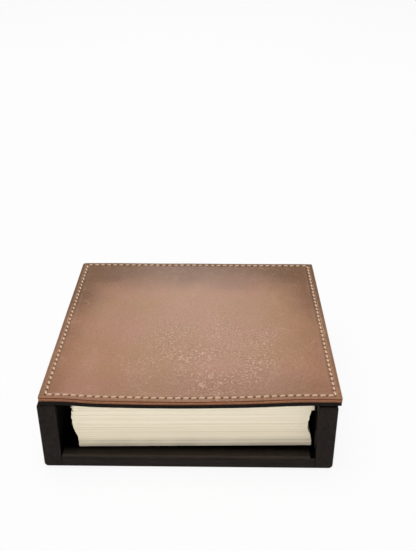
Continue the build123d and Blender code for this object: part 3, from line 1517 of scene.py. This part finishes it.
@dataclass
class NotePack:
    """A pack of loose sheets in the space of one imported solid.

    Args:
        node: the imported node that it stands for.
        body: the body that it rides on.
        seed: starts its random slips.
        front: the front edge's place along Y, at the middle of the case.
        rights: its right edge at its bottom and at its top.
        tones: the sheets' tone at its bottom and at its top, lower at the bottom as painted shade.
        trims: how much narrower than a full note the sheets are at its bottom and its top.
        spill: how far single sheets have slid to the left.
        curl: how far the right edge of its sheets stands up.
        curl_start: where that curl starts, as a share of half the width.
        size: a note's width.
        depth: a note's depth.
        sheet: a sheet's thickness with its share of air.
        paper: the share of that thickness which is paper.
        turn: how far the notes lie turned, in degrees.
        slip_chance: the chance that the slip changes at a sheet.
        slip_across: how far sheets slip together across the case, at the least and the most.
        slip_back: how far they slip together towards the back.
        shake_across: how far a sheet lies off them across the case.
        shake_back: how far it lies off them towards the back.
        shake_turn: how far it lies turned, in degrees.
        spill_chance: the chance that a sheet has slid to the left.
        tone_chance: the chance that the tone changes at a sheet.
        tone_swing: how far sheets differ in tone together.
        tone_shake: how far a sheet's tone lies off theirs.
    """

    node: str
    body: Body
    seed: int
    front: float
    rights: tuple[float, float]
    tones: tuple[float, float]
    trims: tuple[float, float] = (0.0, 0.0)
    spill: float = 0.0
    curl: float = 0.0
    curl_start: float = 0.68
    size: float = 90.0 * MM
    depth: float = 89.4 * MM
    sheet: float = 0.104 * MM
    paper: float = 0.88
    turn: float = 1.2
    slip_chance: float = 0.22
    slip_across: tuple[float, float] = (-0.12 * MM, 0.12 * MM)
    slip_back: tuple[float, float] = (-0.02 * MM, 0.05 * MM)
    shake_across: tuple[float, float] = (-0.03 * MM, 0.03 * MM)
    shake_back: tuple[float, float] = (-0.02 * MM, 0.03 * MM)
    shake_turn: tuple[float, float] = (-0.04, 0.04)
    spill_chance: float = 0.6
    tone_chance: float = 0.3
    tone_swing: float = 0.26
    tone_shake: tuple[float, float] = (-0.06, 0.06)

    def build(self, finish: bpy.types.Material) -> Piece:
        """Builds the pack sheet by sheet.

        Args:
            finish: the paper's material.

        Returns:
            The joined sheets.
        """
        low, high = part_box(self.node)
        rng = random.Random(self.seed)
        top = high.z - self.curl
        count = max(2, round((top - low.z) / self.sheet))
        pitch = (top - low.z) / count
        model = self._one_sheet(self.paper * pitch)
        sheets, tones = [], []
        slip_x = slip_y = 0.0
        tone = rng.random()
        pivot = Matrix.Translation((0, self.front, 0))
        turned = pivot @ Matrix.Rotation(math.radians(self.turn), 4, "Z") @ pivot.inverted()
        for index in range(count):
            if rng.random() < self.slip_chance:
                slip_x = rng.uniform(*self.slip_across)
                slip_y = rng.uniform(*self.slip_back)
            if rng.random() < self.tone_chance:
                tone = rng.random()
            share = (index + 0.5) / count
            right, trim, level = (start + (end - start) * share for start, end in (
                self.rights, self.trims, self.tones))
            width = self.size - trim
            spilt = self.spill * rng.random() if rng.random() < self.spill_chance else 0.0
            across = right - width / 2 - spilt + slip_x + rng.uniform(*self.shake_across)
            back = self.front + self.depth / 2 + slip_y + rng.uniform(*self.shake_back)
            place = Matrix.Translation((across, back, low.z + pitch * (index + 0.5)))
            turn = Matrix.Rotation(math.radians(rng.uniform(*self.shake_turn)), 4, "Z")
            trimmed = Matrix.Scale(width / self.size, 4, (1, 0, 0))
            sheet = copy_mesh(model)
            sheet.matrix_world = turned @ place @ turn @ trimmed
            sheets.append(settle(sheet, "sheet"))
            # Painted shade by height in the pack, plus a random tone of the sheet's own.
            own_tone = level + self.tone_swing * (tone - 0.5) + rng.uniform(*self.tone_shake)
            tones += [min(1.0, max(0.0, own_tone))] * len(sheet.data.vertices)
        bpy.data.objects.remove(model)
        pack = join(sheets, self.node.replace("note_pack", "note_sheets") + "_paper")
        set_values(pack, "sheet_tone", tones)
        paint(pack, finish)
        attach(pack, self.body.value)
        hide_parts(self.node)
        return pack

    def _one_sheet(self, thickness: float) -> Piece:
        """Models one sheet, which curls up at its right edge where the pack says so.

        Args:
            thickness: the paper's thickness.

        Returns:
            The sheet.
        """
        bpy.ops.object.select_all(action="DESELECT")
        bpy.ops.mesh.primitive_cube_add(size=1)
        bpy.context.object.scale = (self.size, self.depth, thickness)
        sheet = settle(bpy.context.object, "sheet")
        half = self.size / 2
        with editing(sheet):
            for place in (-0.9, -0.5, 0.0, 0.5, 0.7, 0.8, 0.88, 0.95):
                cut((half * place, 0, 0), (1, 0, 0))
        start = self.curl_start * half
        for vertex in sheet.data.vertices:
            beyond = max(0.0, vertex.co.x - start) / (half - start)
            vertex.co.z += self.curl * beyond * beyond
        return sheet


@dataclass
class NoteStack:
    """All the notes: the packs on the board and the loose ones on top.

    Args:
        inner_right: the right wall's inner face.
        front: the notes' front edge at the middle of the case.
    """

    inner_right: float
    front: float

    def _pack(self, node: str, seed: int, gaps: tuple[float, float],
              tones: tuple[float, float], trims: tuple[float, float] = (0.0, 0.0),
              spill: float = 0.0, curl: float = 0.0, body: Body = Body.BOARD) -> NotePack:
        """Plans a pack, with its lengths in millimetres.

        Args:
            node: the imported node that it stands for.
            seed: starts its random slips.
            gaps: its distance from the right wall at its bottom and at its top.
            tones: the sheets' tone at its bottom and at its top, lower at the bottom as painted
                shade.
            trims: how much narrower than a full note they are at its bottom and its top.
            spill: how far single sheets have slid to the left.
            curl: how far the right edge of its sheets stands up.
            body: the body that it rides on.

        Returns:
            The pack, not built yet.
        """
        rights = tuple(self.inner_right - gap * MM for gap in gaps)
        return NotePack(node, body, seed, self.front, rights, tones,
                        tuple(trim * MM for trim in trims), spill * MM, curl * MM)

    def build(self) -> list[Piece]:
        """Builds every pack.

        Returns:
            The packs' objects.
        """
        finish = NotePaper("cream_note_paper", specular=0.2).build()
        # The tones rise from the bottom pack to the loose notes: painted shade on the lower
        # sheets.
        packs = (
            self._pack("note_pack_bottom", 5, (0.9, 1.3), (0.15, 0.42), (1.0, 1.4)),
            self._pack("note_pack_lower", 6, (1.3, 2.9), (0.42, 0.55), (1.4, 1.65)),
            self._pack("note_pack_middle", 7, (2.9, 2.4), (0.55, 0.65), (1.5, 0.8)),
            self._pack("note_pack_upper", 8, (2.4, 1.9), (0.65, 0.7), (0.7, 0.4)),
            self._pack("note_pack_top", 9, (0.7, 0.7), (0.7, 0.85), spill=1.0),
            self._pack("loose_notes", 29, (0.4, 0.4), (0.95, 1.0), spill=1.0, curl=0.6,
                       body=Body.NOTES))
        return [pack.build(finish) for pack in packs]


# ---- The case, the board and the felt ----


@dataclass
class WoodCase:
    """The stained case and the board in it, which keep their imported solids.

    Args:
        nodes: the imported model's objects by name.
    """

    nodes: dict[str, Piece]

    def _stain(self, node: str, grain: Grain, inward: Triple) -> Piece:
        """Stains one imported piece.

        Args:
            node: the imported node's name.
            grain: the way its fibres run.
            inward: the direction that its inner face looks in.

        Returns:
            The node's object.
        """
        low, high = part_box(node)
        finish = StainedWood(f"stained_{node}", specular=0.08, centre=tuple((low + high) / 2),
                             half_size=tuple((high - low) / 2), grain=grain, inward=inward)
        paint(self.nodes[node], finish.build())
        return self.nodes[node]

    def build(self) -> list[Piece]:
        """Stains the walls, the floor and the board.

        Returns:
            The stained objects.
        """
        walls = [self._stain("left_wall", Grain.BACK, (1.0, 0.0, 0.0)),
                 self._stain("right_wall", Grain.BACK, (-1.0, 0.0, 0.0)),
                 self._stain("back_wall", Grain.ACROSS, (0.0, -1.0, 0.0)),
                 self._stain("base_board", Grain.ACROSS, (0.0, 0.0, 1.0))]
        board = self.nodes["pull_out_board"]
        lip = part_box("pull_out_board")[0].y
        paint(board, BoardStain("stained_and_shaded_pull_out_board", specular=0.0, lip=lip).build())
        return [*walls, board]


@dataclass
class FeltPad:
    """The felt under the case.

    Args:
        corner: the radius of its corners.
        ragged: the unevenness of its sides.
        clear: how far its upper face lies below the wood.
        cell: about the size of its grid's cells.
    """

    corner: float = 3.0 * MM
    ragged: Waves = Waves(0.12 * MM, (900, 900, 0), 1.0)
    clear: float = 0.02 * MM
    cell: float = 2.0 * MM

    def build(self) -> list[Piece]:
        """Models the felt with slightly ragged sides.

        Returns:
            The felt.
        """
        low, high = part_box("base_felt")
        form = LidForm(low.x, high.x, low.y, high.y, low.z, low.x, corner=self.corner,
                       worn_corner=self.corner)
        felt = add_grid("base_felt_pad", low, high, self.cell)
        for vertex in felt.data.vertices:
            x, y = form.rounded(vertex.co.x, vertex.co.y)
            inwards = abs(self.ragged.at(x, y))
            vertex.co = (x - inwards * (1 if x > 0 else -1), y, high.z - self.clear)
        thicken(felt, high.z - low.z - self.clear)
        soften(felt, 0.15 * MM)
        paint(felt, BaseFelt("black_base_felt", specular=0.1, sheen=0.04).build())
        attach(felt, Body.CASE.value)
        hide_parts("base_felt")
        return [felt]


# ---- The studio ----


@dataclass(frozen=True)
class SoftLamp:
    """A soft square lamp that faces the box.

    Args:
        name: its name.
        place: where it stands.
        size: the length of its sides.
        power: its power in watts.
        mirrored: whether shiny surfaces mirror it.
        target: the place that it faces.
    """

    name: str
    place: Triple
    size: float
    power: float
    mirrored: bool = True
    target: Triple = (0.0, 0.0, 0.02)

    def build(self) -> None:
        """Adds the lamp to the scene."""
        data = bpy.data.lights.new(self.name, "AREA")
        data.shape = "SQUARE"
        data.size = self.size
        data.energy = self.power
        lamp = bpy.data.objects.new(self.name, data)
        lamp.visible_glossy = self.mirrored
        bpy.context.scene.collection.objects.link(lamp)
        towards = Vector(self.target) - Vector(self.place)
        turn = towards.to_track_quat("-Z", "Y").to_matrix().to_4x4()
        lamp.matrix_world = Matrix.Translation(self.place) @ turn


@dataclass
class Studio:
    """The floor, the soft light and the camera at the photograph's angle.

    Args:
        focal: the camera's focal length in pixels of the picture.
        picture_height: the picture's height in pixels.
        sensor: the camera's sensor in millimetres.
        place: the camera's place.
        yaw: its turn to the right, in radians.
        pitch: its tilt downwards, in radians.
        roll: its turn about its own view, in radians.
        sky: how bright the white world is as light, where the camera sees it as 1.
        floor_size: the length of the floor's sides.
        lamps: the lamps.
    """

    focal: float = 735.29
    picture_height: float = 551.0
    sensor: float = 36.0
    place: Triple = (10.96 * MM, -260.60 * MM, 202.02 * MM)
    yaw: float = -0.0157
    pitch: float = 0.5104
    roll: float = -0.0017
    sky: float = 0.35
    floor_size: float = 8.0
    lamps: tuple[SoftLamp, ...] = (
        SoftLamp("overhead_softbox", (-0.12, 0.05, 1.0), 0.8, 5.2),
        SoftLamp("rear_softbox", (-0.04, 1.0, 0.7), 0.2, 0.95),
        SoftLamp("front_softbox", (-0.15, -1.3, 0.22), 0.6, 8.5, mirrored=False))

    def _camera(self) -> None:
        """Sets the camera up."""
        forward = Vector((math.sin(self.yaw) * math.cos(self.pitch),
                          math.cos(self.yaw) * math.cos(self.pitch), -math.sin(self.pitch)))
        level = Vector((math.cos(self.yaw), -math.sin(self.yaw), 0))
        upward = level.cross(forward)
        right = math.cos(self.roll) * level + math.sin(self.roll) * upward
        up = math.cos(self.roll) * upward - math.sin(self.roll) * level
        data = bpy.data.cameras.new("photo_camera")
        data.sensor_width = self.sensor
        data.lens = self.focal * self.sensor / self.picture_height
        data.clip_start = 0.01
        camera = bpy.data.objects.new("photo_camera", data)
        turn = Matrix((right, up, -forward)).transposed()
        camera.matrix_world = Matrix.Translation(self.place) @ turn.to_4x4()
        bpy.context.scene.collection.objects.link(camera)
        bpy.context.scene.camera = camera

    def _world(self) -> None:
        """Sets the white world up."""
        world = bpy.context.scene.world = bpy.data.worlds.new("studio_world")
        world.use_nodes = True
        world.node_tree.nodes.clear()
        net = Net(world.node_tree)
        seen = net.node("LightPath").outputs["Is Camera Ray"]
        strength = net.spread(seen, 0.0, 1.0, self.sky, 1.0)
        sky = net.node("Background", {"Color": (1, 1, 1, 1), "Strength": strength})
        net.node("OutputWorld", {0: sky.outputs[0]})

    def build(self) -> None:
        """Builds the floor, the lamps, the world and the camera."""
        bpy.ops.object.select_all(action="DESELECT")
        bpy.ops.mesh.primitive_plane_add(size=self.floor_size)
        floor = settle(bpy.context.object, "studio_floor")
        paint(floor, StudioFloor("studio_floor_paint", specular=0.1).build())
        for lamp in self.lamps:
            lamp.build()
        self._world()
        self._camera()
        bpy.context.scene.view_settings.view_transform = "Standard"


def main(frame: dict) -> None:
    """Builds the memo box piece by piece.

    Args:
        frame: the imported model, as loaded.
    """
    logging.basicConfig(level=logging.INFO, format="%(name)s: %(message)s")
    left_low, left_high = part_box("left_wall")
    right_low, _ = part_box("right_wall")
    lid_low, lid_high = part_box("lid_leather")
    leaf_low, leaf_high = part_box("hinge_leaf")
    lap_low, lap_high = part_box("hinge_lap_strip")
    lid_gap, note_recess = 0.3 * MM, 5.4 * MM
    thickness = leaf_high.y - leaf_low.y
    form = LidForm(lid_low.x, lid_high.x, lid_low.y, lid_high.y, left_high.z + lid_gap,
                   left_high.x)
    hinge = LeatherHinge(
        axis_y=(leaf_low.y + leaf_high.y) / 2, axis_z=leaf_high.z - thickness / 2,
        half_width=leaf_high.x, lap=lap_high.y - lap_low.y, thickness=thickness, form=form)
    parts = (WoodCase(frame["nodes"]), FeltPad(), NoteStack(right_low.x, left_low.y + note_recess),
             LeatherLid(form, StitchLine(form)), hinge)
    for part in parts:
        for piece in part.build():
            LOG.info("%s: %s", type(part).__name__, piece.name)
    Studio().build()
    LOG.info("Studio: done")


if __name__ == "__main__":
    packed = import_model()
    main(packed)
